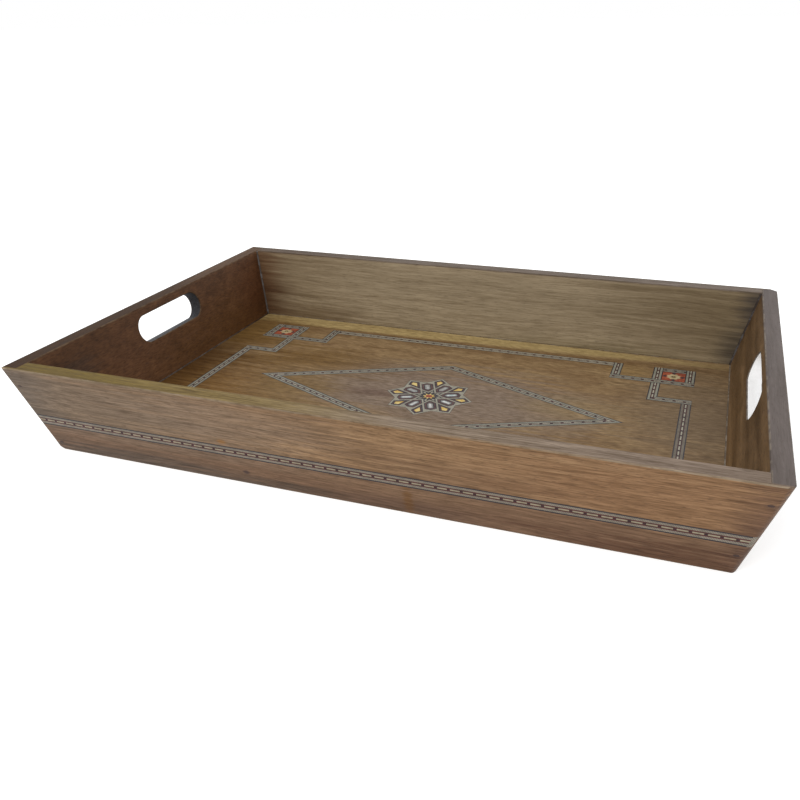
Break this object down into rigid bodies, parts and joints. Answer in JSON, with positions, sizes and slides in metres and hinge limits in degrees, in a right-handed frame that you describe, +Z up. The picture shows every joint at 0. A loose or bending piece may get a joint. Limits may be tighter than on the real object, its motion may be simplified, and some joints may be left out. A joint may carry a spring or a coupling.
{
  "type": "serving tray",
  "caption": "Rectangular wooden serving tray with leaning walls, a hand slot in each end, inlaid wall bands and a floor inlaid with a stepped border, a rhombus and a star rosette.",
  "frame": {"origin": "middle of the walls' bottom edges, on the surface that the tray stands on", "axes": "+X along the length, towards the right in the picture; +Y along the width, away from the camera; +Z up"},
  "size_m": [0.4996, 0.3396, 0.069],
  "materials": {
    "walnut": "waxed, fine grain along the board",
    "walnut_dark": "waxed, dark, fine grain along the board",
    "walnut_gold": "lacquered, golden brown",
    "plywood": "raw plywood",
    "bone": "polished bone and dark wood inlay strip",
    "dark_wood": "dark stained inlay",
    "yellow_wood": "yellow wood inlay",
    "red_wood": "red wood inlay",
    "pearl": "mother-of-pearl inlay",
    "steel": "headless brads, filled flush"
  },
  "bodies": {
    "root": {"left_end_board": "walnut_dark", "left_band": "bone", "left_border_strip": "bone", "right_end_board": "walnut_dark", "right_band": "bone", "right_border_strip": "bone", "front_board": "walnut", "front_facing": "walnut", "front_band": "bone", "front_border_strip": "bone", "front_left_upper_brad": "steel", "front_left_lower_brad": "steel", "front_left_corner_fret": "bone", "front_left_tile_ground": "red_wood", "front_left_tile_star": "yellow_wood", "front_left_rhombus_strip": "bone", "front_right_upper_brad": "steel", "front_right_lower_brad": "steel", "front_right_corner_fret": "bone", "front_right_tile_ground": "red_wood", "front_right_tile_star": "yellow_wood", "front_right_rhombus_strip": "bone", "back_board": "walnut", "back_facing": "walnut", "back_band": "bone", "back_border_strip": "bone", "back_left_upper_brad": "steel", "back_left_lower_brad": "steel", "back_left_corner_fret": "bone", "back_left_tile_ground": "red_wood", "back_left_tile_star": "yellow_wood", "back_left_rhombus_strip": "bone", "back_right_upper_brad": "steel", "back_right_lower_brad": "steel", "back_right_corner_fret": "bone", "back_right_tile_ground": "red_wood", "back_right_tile_star": "yellow_wood", "back_right_rhombus_strip": "bone", "base_panel": "plywood", "floor_sheet": "walnut_gold", "rosette_strapwork": "bone", "rosette_ground": "dark_wood", "rosette_centre_star": "yellow_wood", "rosette_pearl_1": "pearl", "rosette_kite_1": "yellow_wood", "rosette_pearl_2": "pearl", "rosette_kite_2": "yellow_wood", "rosette_pearl_3": "pearl", "rosette_kite_3": "yellow_wood", "rosette_pearl_4": "pearl", "rosette_kite_4": "yellow_wood", "rosette_pearl_5": "pearl", "rosette_kite_5": "yellow_wood", "rosette_pearl_6": "pearl", "rosette_kite_6": "yellow_wood", "rosette_pearl_7": "pearl", "rosette_kite_7": "yellow_wood", "rosette_pearl_8": "pearl", "rosette_kite_8": "yellow_wood"}
  },
  "joints": []
}
